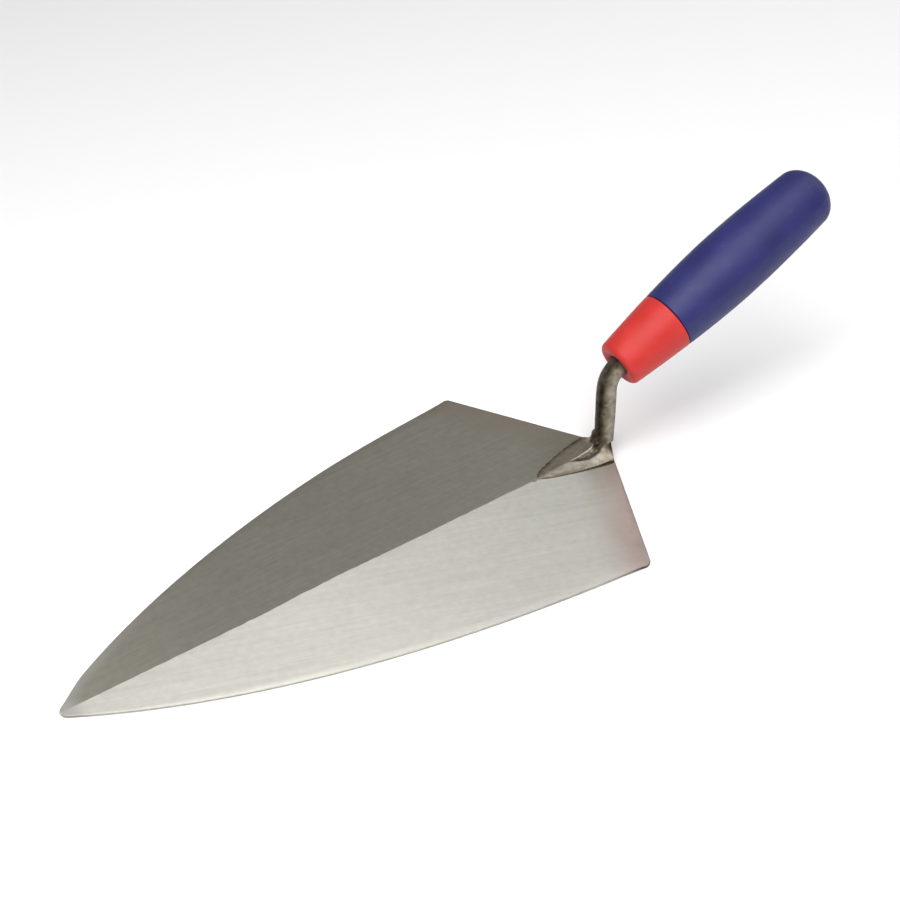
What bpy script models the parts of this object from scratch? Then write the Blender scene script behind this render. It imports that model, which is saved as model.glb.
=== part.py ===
"""An 11 inch Philadelphia brick trowel, in metres.

A steel blade with a flat underside and two ground facets on top, a wedge-shaped bolster welded to
its heel, a bent round shank whose barbed tang is buried in the handle, and a handle made of a hard
plastic core with a soft rubber grip over it. The trowel lies on its blade.

+X points to the tip and +Z up. The origin is on the blade's underside, under the middle of the
whole trowel, and the trowel is symmetric about the plane Y = 0.
"""

import math

import bmesh
import bpy
from mathutils import Matrix, Vector

MM = 0.001
GAP = 0.3 * MM  # left between pieces that touch

# Blade, an 11 inch one
BLADE_LENGTH = 280 * MM
BLADE_WIDTH = 145.2 * MM  # 144.4 once its corners are rounded
CORNER_FORWARD = 38 * MM  # from the heel point to the widest place
CORNER_ROUND = 2 * MM
TIP_ROUND = 5 * MM
SIDE_FULLNESS = (10 * MM, 112 * MM)  # how far each side's curve holds its end directions
CORNER_TOE_IN = 14.5  # degrees by which a side leaves its corner inwards
TIP_HALF_ANGLE = 32.4  # degrees
HEEL_THICKNESS = 2.6 * MM  # on the ridge, where the two ground facets meet
TIP_THICKNESS = 1.2 * MM
CORNER_THICKNESS = 1.0 * MM

# Bolster: the wedge under the shank, whose back follows the heel's two edges
BOLSTER_SIDE = (  # its plan on one side, from its back corner to its toe
    (6.3 * MM, 10.5 * MM),
    (16 * MM, 9 * MM),
    (26 * MM, 6.4 * MM),
    (35 * MM, 3.5 * MM),
    (41 * MM, 0),
)
BOLSTER_TOE = BOLSTER_SIDE[-1][0]
BOLSTER_BACK = -0.8 * MM
BOLSTER_RIDGE = 5.8 * MM  # height of its ridge at the shank
BOLSTER_STEP = (17 * MM, 4.1 * MM)  # where the steep part of the ridge begins: ahead, and height
BOLSTER_SHOULDER = 4.6 * MM  # half the width of the flat between its two crests, at the shank
BOLSTER_TOE_HEIGHT = 0.5 * MM
PAD_RADIUS = 4.7 * MM  # the round seat that the shank stands on
PAD_TOP = 8.0 * MM

# Shank: heights and distances from the heel point
SHANK_FOOT = (3.6 * MM, PAD_TOP + GAP)
SHANK_RADIUS = 4.3 * MM
SHANK_WAIST_RADIUS = 4.6 * MM  # the forged bar is thicker half way up
SHANK_BEND_RADIUS = 12 * MM
TANG_ENTRY_RADIUS = 4.5 * MM
TANG_RADIUS = 3.4 * MM
TANG_BARB_RADIUS = 4.2 * MM
TANG_LENGTH = 85 * MM
TANG_BARBS = (30 * MM, 45 * MM, 60 * MM)  # from the handle's front face
BARB_LENGTH = 8 * MM

# Handle: distances run along its axis from its front face
HANDLE_FRONT = (-1.9 * MM, 45 * MM)  # the centre of the front face, from the heel point
HANDLE_TILT = 23.6  # degrees above the blade
FRONT_RADIUS = 11.1 * MM
SWELL_RADIUS = 16.1 * MM
SWELL_AT = 67.7 * MM
BUTT_RADIUS = 14.3 * MM
BUTT_AT = 115.7 * MM  # where the rounded butt begins
BUTT_DEPTH = 10.9 * MM
SEAM_AT = 30.8 * MM  # between the bare collar and the soft grip
SEAM_CHAMFER = 0.5 * MM
FRONT_ROUND = 2.5 * MM
DISH_RADIUS = 8.0 * MM
DISH_DEPTH = 2.2 * MM
BORE_RADIUS = TANG_ENTRY_RADIUS + GAP
SPIGOT_RADIUS = 10 * MM
SPIGOT_END = 110 * MM
TURN_STEPS = 48

# Welds
BEAD_RADIUS = 0.75 * MM
TOE_WELD = (3.2 * MM, 2.6 * MM, 1.1 * MM)
NECK_WELD_WIDTH = 1.0 * MM
NECK_WELD_HEIGHT = 1.4 * MM

HANDLE_AXIS = Vector(
    (-math.cos(math.radians(HANDLE_TILT)), 0, math.sin(math.radians(HANDLE_TILT)))
)
BUTT_REACH = math.hypot(BUTT_DEPTH * HANDLE_AXIS.x, BUTT_RADIUS * HANDLE_AXIS.z)
HANDLE_REACH = -(HANDLE_FRONT[0] + HANDLE_AXIS.x * BUTT_AT) + BUTT_REACH
HEEL_X = (HANDLE_REACH - BLADE_LENGTH) / 2  # puts the origin under the middle


def from_heel(x, y, z):
    """A point given from the heel point, in the trowel's own frame."""
    return Vector((HEEL_X + x, y, z))


def blade_top(x, y):
    """Height of the blade's two upper facets, x ahead of the heel point."""
    fall_ahead = (HEEL_THICKNESS - TIP_THICKNESS) / BLADE_LENGTH
    at_corner = HEEL_THICKNESS - fall_ahead * CORNER_FORWARD - CORNER_THICKNESS
    fall_aside = at_corner / (BLADE_WIDTH / 2)
    return HEEL_THICKNESS - fall_ahead * x - fall_aside * abs(y)


def make_collection(name):
    collection = bpy.data.collections.new(name)
    bpy.context.scene.collection.children.link(collection)
    return collection


def make_material(name, colour, roughness, metallic):
    material = bpy.data.materials.new(name)
    material.use_nodes = True
    shader = material.node_tree.nodes["Principled BSDF"]
    shader.inputs["Base Color"].default_value = (*colour, 1)
    shader.inputs["Roughness"].default_value = roughness
    shader.inputs["Metallic"].default_value = metallic
    material.diffuse_color = (*colour, 1)
    return material


def add_object(name, data, material, collection):
    piece = bpy.data.objects.new(name, data)
    data.materials.append(material)
    collection.objects.link(piece)
    return piece


def mesh_from(name, bm, smooth_angle=None):
    bmesh.ops.recalc_face_normals(bm, faces=bm.faces)
    mesh = bpy.data.meshes.new(name)
    bm.to_mesh(mesh)
    bm.free()
    if smooth_angle:
        mesh.shade_smooth()
        mesh.set_sharp_from_angle(angle=math.radians(smooth_angle))
    return mesh


def welded_mesh(name, source):
    """A curve object's own surface as one closed mesh; the curve is removed."""
    graph = bpy.context.evaluated_depsgraph_get()
    bm = bmesh.new()
    bm.from_mesh(bpy.data.meshes.new_from_object(source.evaluated_get(graph)))
    bmesh.ops.transform(bm, matrix=source.matrix_world, verts=bm.verts)
    bmesh.ops.remove_doubles(bm, verts=bm.verts, dist=0.001 * MM)
    bpy.data.objects.remove(source)
    return bm


def blade_outline():
    """One half of the plan as Bezier points: handle before, point, handle after."""
    corner = Vector((CORNER_FORWARD, BLADE_WIDTH / 2))
    to_heel = -corner.normalized()
    toe_in = math.radians(CORNER_TOE_IN)
    along_side = Vector((math.cos(toe_in), -math.sin(toe_in)))
    tip_angle = math.radians(TIP_HALF_ANGLE)
    to_tip = Vector((math.cos(tip_angle), -math.sin(tip_angle)))
    apex = Vector((BLADE_LENGTH + TIP_ROUND * (1 / math.sin(tip_angle) - 1), 0))
    tip_start = apex - to_tip * TIP_ROUND / math.tan(tip_angle)
    tip_hold = TIP_ROUND * 4 / 3 * math.tan((math.pi / 2 - tip_angle) / 4)
    corner_start = corner + to_heel * CORNER_ROUND
    corner_end = corner + along_side * CORNER_ROUND
    hold = 0.6 * CORNER_ROUND
    tip = Vector((BLADE_LENGTH, 0))
    return [
        (corner_start + to_heel * hold, corner_start, corner_start - to_heel * hold),
        (corner_end - along_side * hold, corner_end, corner_end + along_side * SIDE_FULLNESS[0]),
        (tip_start - to_tip * SIDE_FULLNESS[1], tip_start, tip_start + to_tip * tip_hold),
        (tip + Vector((0, tip_hold)), tip, tip - Vector((0, tip_hold))),
    ]


def add_blade(material, collection):
    half = blade_outline()
    mirrored = [
        tuple(Vector((point.x, -point.y)) for point in reversed(entry))
        for entry in reversed(half[:-1])
    ]
    heel = Vector((0, 0))
    entries = [(heel, heel, heel), *half, *mirrored]
    curve = bpy.data.curves.new("blade_plan", "CURVE")
    curve.dimensions = "2D"
    curve.fill_mode = "BOTH"
    curve.extrude = HEEL_THICKNESS / 2
    curve.resolution_u = 20
    spline = curve.splines.new("BEZIER")
    spline.use_cyclic_u = True
    spline.bezier_points.add(len(entries) - 1)
    for knot, (before, point, after) in zip(spline.bezier_points, entries):
        knot.handle_left_type = knot.handle_right_type = "FREE"
        knot.handle_left = before.to_3d()
        knot.co = point.to_3d()
        knot.handle_right = after.to_3d()
    plate = add_object("blade_plan", curve, material, collection)
    plate.location = from_heel(0, 0, HEEL_THICKNESS / 2)
    bpy.context.view_layer.update()
    bm = welded_mesh("blade", plate)
    for side in (1, -1):
        grind_facet(bm, side)
    add_object("blade", mesh_from("blade", bm), material, collection)


def grind_facet(bm, side):
    """Cuts away what is above one of the blade's two upper facets."""
    ridge_heel = from_heel(0, 0, blade_top(0, 0))
    ridge_tip = from_heel(BLADE_LENGTH, 0, blade_top(BLADE_LENGTH, 0))
    corner_y = side * BLADE_WIDTH / 2
    corner = from_heel(CORNER_FORWARD, corner_y, blade_top(CORNER_FORWARD, corner_y))
    normal = (ridge_tip - ridge_heel).cross(corner - ridge_heel) * side
    cut = bmesh.ops.bisect_plane(
        bm,
        geom=[*bm.verts, *bm.edges, *bm.faces],
        dist=0.0001 * MM,
        plane_co=ridge_heel,
        plane_no=normal.normalized(),
        clear_outer=True,
    )
    rim = [item for item in cut["geom_cut"] if isinstance(item, bmesh.types.BMEdge)]
    bmesh.ops.holes_fill(bm, edges=[edge for edge in rim if edge.is_boundary], sides=0)


def hull_mesh(name, half):
    """The convex hull of these points and their mirror images across Y = 0."""
    bm = bmesh.new()
    for x, y, z in half:
        for side in (1, -1):
            bm.verts.new(from_heel(x, side * y, z))
    bmesh.ops.remove_doubles(bm, verts=bm.verts, dist=0.001 * MM)
    bmesh.ops.convex_hull(bm, input=bm.verts)
    return mesh_from(name, bm)


def add_bolster(material, collection):
    """A long low wedge, a steeper block behind it, and a round seat for the shank."""
    seat = HEEL_THICKNESS + GAP
    corner_x, corner_y = BOLSTER_SIDE[0]
    step_x, step_z = BOLSTER_STEP
    ridge_front = SHANK_FOOT[0] + PAD_RADIUS
    base = [
        (corner_x, corner_y, seat),
        (corner_x, corner_y, seat + 0.7 * MM),
        (BOLSTER_BACK, 1.5 * MM, seat),
    ]
    low = [
        *base,
        *((x, y, seat) for x, y in BOLSTER_SIDE[1:]),
        (BOLSTER_TOE - 1 * MM, 0, seat + BOLSTER_TOE_HEIGHT),
        (step_x, 0, step_z),
        (BOLSTER_BACK, 1.5 * MM, step_z),
    ]
    block = [
        *base,
        (step_x, 2 * MM, seat),
        (step_x, 0, step_z),
        (ridge_front, BOLSTER_SHOULDER, BOLSTER_RIDGE - 0.8 * MM),
        (ridge_front, 0, BOLSTER_RIDGE),
        (BOLSTER_BACK, 1.5 * MM, BOLSTER_RIDGE),
    ]
    wedge = add_object("bolster", hull_mesh("bolster", low), material, collection)
    joined = make_collection("joined")
    back = add_object("bolster_block", hull_mesh("bolster_block", block), material, joined)

    bm = bmesh.new()
    bmesh.ops.create_cone(
        bm,
        cap_ends=True,
        segments=32,
        radius1=PAD_RADIUS,
        radius2=PAD_RADIUS,
        depth=PAD_TOP - seat,
        matrix=Matrix.Translation(from_heel(SHANK_FOOT[0], 0, (PAD_TOP + seat) / 2)),
    )
    pad = add_object("bolster_pad", mesh_from("bolster_pad", bm), material, joined)
    for part in (back, pad):
        part.hide_render = True
        part.display_type = "WIRE"
        join = wedge.modifiers.new(part.name, "BOOLEAN")
        join.operation = "UNION"
        join.object = part


def shank_route():
    """The shank's centre line from its foot to the tang's end, as (point, radius)."""
    foot = Vector((SHANK_FOOT[0], 0, SHANK_FOOT[1]))
    front = Vector((HANDLE_FRONT[0], 0, HANDLE_FRONT[1]))
    turn = math.radians(90 - HANDLE_TILT)
    tangent = SHANK_BEND_RADIUS * math.tan(turn / 2)
    run_back = (front.x - foot.x) / HANDLE_AXIS.x
    corner = front - HANDLE_AXIS * run_back
    bend_start = corner.z - tangent
    middle = (foot.z + bend_start) / 2
    route = [(foot, SHANK_RADIUS), (Vector((foot.x, 0, middle)), SHANK_WAIST_RADIUS)]
    bend_steps = 12
    for step in range(bend_steps + 1):
        angle = turn * step / bend_steps
        x = foot.x - SHANK_BEND_RADIUS * (1 - math.cos(angle))
        z = bend_start + SHANK_BEND_RADIUS * math.sin(angle)
        share = step / bend_steps
        radius = SHANK_WAIST_RADIUS * (1 - share) + TANG_ENTRY_RADIUS * share
        route.append((Vector((x, 0, z)), radius))
    tang = [(6 * MM, TANG_ENTRY_RADIUS), (14 * MM, TANG_RADIUS)]
    for barb in TANG_BARBS:
        tang += [
            (barb, TANG_RADIUS),
            (barb + 1 * MM, TANG_BARB_RADIUS),
            (barb + BARB_LENGTH, TANG_RADIUS),
        ]
    tang += [(TANG_LENGTH - 5 * MM, TANG_RADIUS), (TANG_LENGTH, TANG_RADIUS / 2)]
    route += [(front + HANDLE_AXIS * distance, radius) for distance, radius in tang]
    return route


def add_shank(material, collection):
    route = shank_route()
    curve = bpy.data.curves.new("shank", "CURVE")
    curve.dimensions = "3D"
    curve.bevel_depth = 1
    curve.bevel_resolution = 6
    curve.use_fill_caps = True
    spline = curve.splines.new("POLY")
    spline.points.add(len(route) - 1)
    for knot, (point, radius) in zip(spline.points, route):
        knot.co = (*from_heel(*point), 1)
        knot.radius = radius
    add_object("shank", curve, material, collection)


def add_turned(name, profile, material, collection):
    """A closed body of revolution on the handle's axis from (radius, distance) pairs."""
    bm = bmesh.new()
    verts = [bm.verts.new((radius, 0, distance)) for radius, distance in profile]
    for first, second in zip(verts, verts[1:]):
        bm.edges.new((first, second))
    mesh = bpy.data.meshes.new(name)
    bm.to_mesh(mesh)
    bm.free()
    piece = add_object(name, mesh, material, collection)
    piece.location = from_heel(HANDLE_FRONT[0], 0, HANDLE_FRONT[1])
    piece.rotation_euler = (0, math.radians(HANDLE_TILT - 90), 0)
    screw = piece.modifiers.new("Turn", "SCREW")
    screw.axis = "Z"
    screw.steps = screw.render_steps = TURN_STEPS
    screw.use_merge_vertices = True
    screw.merge_threshold = 0.00001
    screw.use_smooth_shade = True
    return piece


def handle_radius(distance):
    """The handle swells to its fattest place, then narrows to the butt."""
    if distance < SWELL_AT:
        return SWELL_RADIUS - (SWELL_RADIUS - FRONT_RADIUS) * (1 - distance / SWELL_AT) ** 1.6
    share = (distance - SWELL_AT) / (BUTT_AT - SWELL_AT)
    return SWELL_RADIUS - (SWELL_RADIUS - BUTT_RADIUS) * share**2


def spaced(first, last, count):
    return [first + (last - first) * step / count for step in range(count + 1)]


def add_handle_core(material, collection):
    profile = [
        (0, SPIGOT_END),
        (SPIGOT_RADIUS - 1 * MM, SPIGOT_END),
        (SPIGOT_RADIUS, SPIGOT_END - 1 * MM),
        (SPIGOT_RADIUS, SEAM_AT),
        (handle_radius(SEAM_AT) - SEAM_CHAMFER, SEAM_AT),
    ]
    for distance in spaced(SEAM_AT - SEAM_CHAMFER, FRONT_ROUND, 8):
        profile.append((handle_radius(distance), distance))
    shoulder = handle_radius(FRONT_ROUND) - FRONT_ROUND
    for angle in spaced(15, 90, 5):
        turned = math.radians(angle)
        radius = shoulder + FRONT_ROUND * math.cos(turned)
        profile.append((radius, FRONT_ROUND * (1 - math.sin(turned))))
    profile += [
        (DISH_RADIUS, 0.3 * MM),
        (BORE_RADIUS + 1 * MM, DISH_DEPTH),
        (BORE_RADIUS, DISH_DEPTH + 0.5 * MM),
        (BORE_RADIUS, TANG_LENGTH + 1 * MM),
        (0, TANG_LENGTH + 1 * MM),
    ]
    add_turned("handle_core", profile, material, collection)


def add_grip(material, collection):
    profile = []
    for angle in spaced(0, math.pi / 2, 10):
        profile.append((BUTT_RADIUS * math.sin(angle), BUTT_AT + BUTT_DEPTH * math.cos(angle)))
    start = SEAM_AT + GAP
    for distance in spaced(BUTT_AT, start + SEAM_CHAMFER, 16)[1:]:
        profile.append((handle_radius(distance), distance))
    inside = SPIGOT_RADIUS + GAP
    profile += [
        (handle_radius(start) - SEAM_CHAMFER, start),
        (inside, start),
        (inside, SPIGOT_END + GAP),
        (0, SPIGOT_END + GAP),
    ]
    add_turned("grip", profile, material, collection)


def add_neck_weld(material, collection):
    """The ring of weld that joins the shank's foot to the bolster's pad."""
    inner = SHANK_WAIST_RADIUS + GAP
    bottom = PAD_TOP + GAP
    ring = [
        (inner, bottom + NECK_WELD_HEIGHT),
        (inner + NECK_WELD_WIDTH * 0.6, bottom + NECK_WELD_HEIGHT * 0.7),
        (inner + NECK_WELD_WIDTH, bottom),
        (inner, bottom),
    ]
    bm = bmesh.new()
    verts = [bm.verts.new((radius, 0, height)) for radius, height in ring]
    for first, second in zip(verts, [*verts[1:], verts[0]]):
        bm.edges.new((first, second))
    mesh = bpy.data.meshes.new("weld_neck")
    bm.to_mesh(mesh)
    bm.free()
    piece = add_object("weld_neck", mesh, material, collection)
    piece.location = from_heel(SHANK_FOOT[0], 0, 0)
    screw = piece.modifiers.new("Turn", "SCREW")
    screw.axis = "Z"
    screw.steps = screw.render_steps = 32
    screw.use_merge_vertices = True
    screw.merge_threshold = 0.00001
    screw.use_smooth_shade = True


def add_side_weld(name, side, material, collection):
    """A bead along one side of the bolster's base."""
    seam = [Vector(point) for point in BOLSTER_SIDE[:-1]]
    curve = bpy.data.curves.new(name, "CURVE")
    curve.dimensions = "3D"
    curve.bevel_depth = BEAD_RADIUS
    curve.bevel_resolution = 2
    curve.use_fill_caps = True
    spline = curve.splines.new("POLY")
    spline.points.add(len(seam) - 1)
    for number, knot in enumerate(spline.points):
        before, after = seam[max(0, number - 1)], seam[min(number + 1, len(seam) - 1)]
        along = (before - after).normalized()
        spot = seam[number] + Vector((along.y, -along.x)) * (BEAD_RADIUS + 2 * GAP)
        height = blade_top(spot.x, spot.y) + GAP + BEAD_RADIUS
        knot.co = (*from_heel(spot.x, side * spot.y, height), 1)
    add_object(name, curve, material, collection)


def add_toe_weld(material, collection):
    """A low dome of weld where the bolster's toe runs out on the blade's ridge."""
    half_length, half_width, height = TOE_WELD
    x = BOLSTER_TOE + GAP + half_length
    floor = blade_top(x - half_length, 0) + GAP
    bm = bmesh.new()
    bmesh.ops.create_uvsphere(bm, u_segments=24, v_segments=12, radius=1)
    bmesh.ops.scale(bm, vec=(half_length, half_width, height), verts=bm.verts)
    bmesh.ops.translate(bm, vec=from_heel(x, 0, floor), verts=bm.verts)
    cut = bmesh.ops.bisect_plane(
        bm,
        geom=[*bm.verts, *bm.edges, *bm.faces],
        dist=0.0001 * MM,
        plane_co=from_heel(x, 0, floor),
        plane_no=(0, 0, -1),
        clear_outer=True,
    )
    rim = [item for item in cut["geom_cut"] if isinstance(item, bmesh.types.BMEdge)]
    bmesh.ops.holes_fill(bm, edges=rim, sides=0)
    add_object("weld_toe", mesh_from("weld_toe", bm, 40), material, collection)


def main():
    for old in list(bpy.data.objects):
        bpy.data.objects.remove(old)
    trowel = make_collection("brick_trowel")
    blade_steel = make_material("blade_steel", (0.55, 0.54, 0.49), 0.4, 1)
    forged_steel = make_material("forged_steel", (0.27, 0.25, 0.2), 0.5, 1)
    weld_metal = make_material("weld_metal", (0.33, 0.3, 0.24), 0.55, 1)
    red_plastic = make_material("red_plastic", (0.75, 0.05, 0.04), 0.35, 0)
    blue_rubber = make_material("blue_rubber", (0.05, 0.05, 0.19), 0.55, 0)
    add_blade(blade_steel, trowel)
    add_bolster(forged_steel, trowel)
    add_side_weld("weld_left", 1, weld_metal, trowel)
    add_side_weld("weld_right", -1, weld_metal, trowel)
    add_toe_weld(weld_metal, trowel)
    add_shank(forged_steel, trowel)
    add_neck_weld(weld_metal, trowel)
    add_handle_core(red_plastic, trowel)
    add_grip(blue_rubber, trowel)


main()
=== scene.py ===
"""The looks of the brick trowel: its visible pieces, materials, lights and camera, in metres."""

import math

import bmesh
import bpy
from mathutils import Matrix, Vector, noise


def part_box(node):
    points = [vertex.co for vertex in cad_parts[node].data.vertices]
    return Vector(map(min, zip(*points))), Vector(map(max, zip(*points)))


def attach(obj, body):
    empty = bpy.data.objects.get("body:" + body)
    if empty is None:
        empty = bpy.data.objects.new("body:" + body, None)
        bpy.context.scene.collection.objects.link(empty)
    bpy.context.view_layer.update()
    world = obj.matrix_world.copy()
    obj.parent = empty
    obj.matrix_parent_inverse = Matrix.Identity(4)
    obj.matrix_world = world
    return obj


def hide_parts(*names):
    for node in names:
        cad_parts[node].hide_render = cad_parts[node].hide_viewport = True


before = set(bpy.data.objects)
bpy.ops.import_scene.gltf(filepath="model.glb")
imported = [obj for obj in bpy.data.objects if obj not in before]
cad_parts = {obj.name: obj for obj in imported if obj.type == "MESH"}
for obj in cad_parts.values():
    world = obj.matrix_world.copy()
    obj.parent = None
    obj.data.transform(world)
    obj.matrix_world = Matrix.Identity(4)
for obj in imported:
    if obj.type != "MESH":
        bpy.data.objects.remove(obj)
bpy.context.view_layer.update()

MM = 0.001
HEEL = Vector((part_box("blade")[0].x, 0, 0))  # the heel point on the underside
BLADE_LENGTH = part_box("blade")[1].x - HEEL.x
HALF_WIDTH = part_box("blade")[1].y

# Blade, distances from the heel point
CORNER_FORWARD = 38 * MM
CORNER_TOE_IN = math.radians(14.5)
TIP_HALF_ANGLE = math.radians(32.4)
TIP_ROUND = {1: 3.8 * MM, -1: 2.8 * MM}  # by side: +1 is +Y, -1 is -Y
CORNER_ROUND = {1: 3.4 * MM, -1: 2 * MM}
SIDE_FULLNESS = (10 * MM, 112 * MM)  # how far the side's curve reaches from the corner and the tip
SIDE_BULGE = {1: 0, -1: 1.9 * MM}  # the -Y side is ground a little fuller
RIDGE_AT_HEEL = 2.55 * MM
RIDGE_AT_TIP = 1.15 * MM
EDGE_THICKNESS = 1.0 * MM
EDGE_ROUND = ((0.3, 0), (0.14, 0.04), (0.04, 0.12), (0, 0.24))  # inset and drop, in mm
FACET_SHARES = (0, 0.012, 0.05, 0.12, 0.22, 0.34, 0.46, 0.58, 0.7, 0.82, 0.92, 1)
HEEL_SHARES = (0.01, 0.04, 0.1, 0.2, 0.35, 0.5, 0.65, 0.8, 0.92)  # stations along the heel's edge
STREAK_ANGLE = {1: math.radians(21), -1: 0.0}  # of the grinding marks, off the ridge
HEEL_BLUNT = 0.5 * MM  # how far the ground heel falls short of its point
HEEL_SLANT = 0.52  # how fast the heel's edges run forwards
HEAT_REACH = 27 * MM  # of the weld's heat tint, ahead of the heel's edges
WEAR_AT = 268 * MM  # where the worn tip begins
WEAR_FADE = 9 * MM

# Handle: its front face's centre from the heel point, then distances along its axis from there
HANDLE_FRONT = Vector((-1.9 * MM, 0, 45 * MM))
HANDLE_TILT = math.radians(23.6)
FRONT_RADIUS = 11.1 * MM
SWELL_RADIUS = 16.1 * MM
SWELL_AT = 67.7 * MM
BUTT_RADIUS = 14.3 * MM
BUTT_AT = 115.7 * MM
BUTT_DEPTH = 10.9 * MM
SEAM_AT = 30.8 * MM
GAP = 0.3 * MM
SPIGOT_RADIUS = 10 * MM
SPIGOT_END = 110 * MM
BORE_RADIUS = 4.8 * MM
# The front face's shallow hollow, from its rim to the bore: (radius, depth) in mm
DISH = ((7.9, 0.03), (7.3, 0.1), (6.7, 0.28), (6.1, 0.5), (5.5, 0.7), (5.1, 0.9))

# Shank: an upright bar, a bend, and a barbed tang inside the handle
SHANK_X = 3.6 * MM
PAD_TOP = 8.0 * MM  # where the bar stands on the bolster, above the floor
FOOT_DEPTH = 0.6 * MM  # how far the bar's end is sunk in the bolster
BEND_RADIUS = 12 * MM
BAR_RADIUS = 4.5 * MM
BAR_GROWTH = 0.1 * MM  # the bar is this much thicker above its foot
FLARE = 2.2 * MM  # of the bar's foot, on the side named next
FRONT_LEFT = Vector((0.8, -0.6, 0))
FLARE_TOP = 13.5 * MM
FLARE_FALL = 8 * MM
FLATS = 8  # faint forging flats round the bar
FLAT_DEPTH = 0.014  # of a flat, as a share of the radius
DARK_REFLECTION_AT = math.radians(-70)  # the painted dark reflection stripe, round the bar from +Y towards the heel
TANG_LENGTH = 85 * MM
TANG_BARBS = (30, 45, 60)  # mm

# Bolster, in mm: x ahead of the heel point, heights above the blade's ridge at the heel
BOLSTER_BACK = 0.4
BOLSTER_TOP = 5.55
BOLSTER_SKIRT = 0.5  # how far its base reaches into the blade
BOLSTER_SIDE = ((6.3, 10.5), (10, 9.9), (13.6, 9.4), (18, 8.5), (22.3, 7.5), (26, 6.5), (30, 5.2),
                (35, 3.6), (38, 2.3), (40.3, 1.1), (41.3, 0.15))  # half-width
BOLSTER_CORNER = BOLSTER_SIDE[0]
BOLSTER_TOE = BOLSTER_SIDE[-1][0]
RIDGE_LINE = ((0, 4.6), (7, 4.4), (10, 3.2), (12, 2.55), (15, 1.85), (19, 1.2), (24, 0.95),
              (34, 0.6), (38, 0.4), (41.3, 0.12))  # height along the middle
LIP_NEAR = ((0, 0.9), (6, 0.8), (12, 0.4), (30, 0.15), (41.3, 0.05))  # height along the +Y side
LIP_FAR = ((0, 0.15), (12, 0.1), (41.3, 0.05))  # height along the -Y side
CREST_OUT = ((0, 4.0), (7, 4.1), (9.5, 4.4), (12, 4.9), (16, 4.9), (20, 2.8), (24, 0.6),
             (26, 0.15), (42, 0.1))  # how far the second crest lies towards +Y
CREST_LINE = ((0, 3.6), (7, 3.3), (9.5, 2.75), (12, 2.1), (16, 1.5), (20, 1.2), (24, 0.98),
              (34, 0.6), (38, 0.4), (41.3, 0.12))  # its height
HOLLOW = ((0, 0), (3, 0), (7, 0.5), (9.5, 0.9), (12, 1.0), (16, 0.75), (20, 0.4), (24.5, 0),
          (42, 0))  # depth of the pitted hollow between the two crests

# Welds
SIDE_BEAD = (0.95, 0.12)  # mm, width and height of the -Y bead, which is even
THIN_BEAD = (0.35, 0.12)  # mm, width and height of the +Y bead at its toe end
THIN_BEAD_GROWTH = (0.95, 0.14)  # mm, and how much more at the heel
TOE_WELD_AT = Vector((40.6 * MM, 0.3 * MM, 0))
TOE_WELD_SIZE = (4.2, 1.2)  # mm, half-length and half-width
TOE_WELD_RISE = 0.1 * MM
NECK_FILLET = (0.12, 1.5)  # mm, its size behind, and how much more in front
NECK_RISE = (0.4, 1.9)  # mm, how far it climbs the bar behind, and how much more in front
NECK_FLARE = 1.2 * MM  # how far it follows the bar's flare, and how far it tucks in behind

# Camera: the target is given from the heel point
CAMERA_AZIMUTH = 143.083
CAMERA_ELEVATION = 38.315
CAMERA_DISTANCE = 950 * MM
CAMERA_TARGET = Vector((58.534 * MM, -42.04 * MM, 0))
CAMERA_LENS = 84.06
CAMERA_SENSOR = 36

# Light: each soft box has a place, a target, a size and a power
WORLD_STRENGTH = 0.26
OVERHEAD = ((0.54, 0.6, 1.1), (0.54, 0.6, 0), (1.4, 1.5), 27)
FILL = ((-0.9, 0, 1.0), (0, 0, 0), (0.9, 1.6), 6.5)
FLOOR_HALF_SIZE = 6
FLOOR_DROP = 0.3 * MM
FLOOR_TONE = 0.9

# Colours of the blade's steel: darkest streak, lightest streak, heat tint, worn tip
NEAR_FACET = ((0.53, 0.522, 0.472), (0.65, 0.64, 0.585), (0.42, 0.35, 0.315), (0.45, 0.44, 0.4))
# The far facet's colours are a darker copy of the near facet's: painted shade, on top of the real
# shift from its other grinding direction
FAR_FACET_SHADED = ((0.31, 0.295, 0.245), (0.395, 0.38, 0.325), (0.35, 0.3, 0.245), (0.5, 0.49, 0.45))
# The rim's heat tint is near black: heat tint and painted shade along the heel's edges
RIM = ((0.5, 0.48, 0.43), (0.66, 0.64, 0.58), (0.13, 0.1, 0.085), (0.4, 0.385, 0.34))
FACET_ROUGHNESS = 0.39
RIM_ROUGHNESS = 0.5
# Colours by painted tone, from the darkest oxide to bright metal; the dark end also gives the bar's
# painted dark reflection
FORGED = ((0.0, (0.035, 0.026, 0.018)), (0.25, (0.1, 0.085, 0.06)), (0.5, (0.215, 0.188, 0.145)),
          (0.75, (0.375, 0.34, 0.275)), (1.0, (0.62, 0.585, 0.51)))
WELD = ((0.0, (0.018, 0.01, 0.006)), (0.3, (0.085, 0.06, 0.038)), (0.55, (0.22, 0.19, 0.14)),
        (0.8, (0.42, 0.39, 0.33)), (1.0, (0.6, 0.57, 0.5)))
# Colours of the plastics: darker, lighter, and the dish's painted-shade red or the grip's scuffs
RED = ((0.49, 0.026, 0.022), (0.57, 0.036, 0.03), (0.42, 0.008, 0.01))
BLUE = ((0.016, 0.018, 0.1), (0.024, 0.027, 0.14), (0.06, 0.065, 0.2))


def smooth(x):
    x = min(1, max(0, x))
    return x * x * (3 - 2 * x)


def spaced(first, last, count):
    return [first + (last - first) * step / count for step in range(count + 1)]


# ---------------------------------------------------------------- meshes


def paint(bm, name, value):
    """A UV layer whose two numbers come from each corner's place."""
    layer = bm.loops.layers.uv.new(name)
    for face in bm.faces:
        for corner in face.loops:
            corner[layer].uv = value(corner.vert.co - HEEL)


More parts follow.
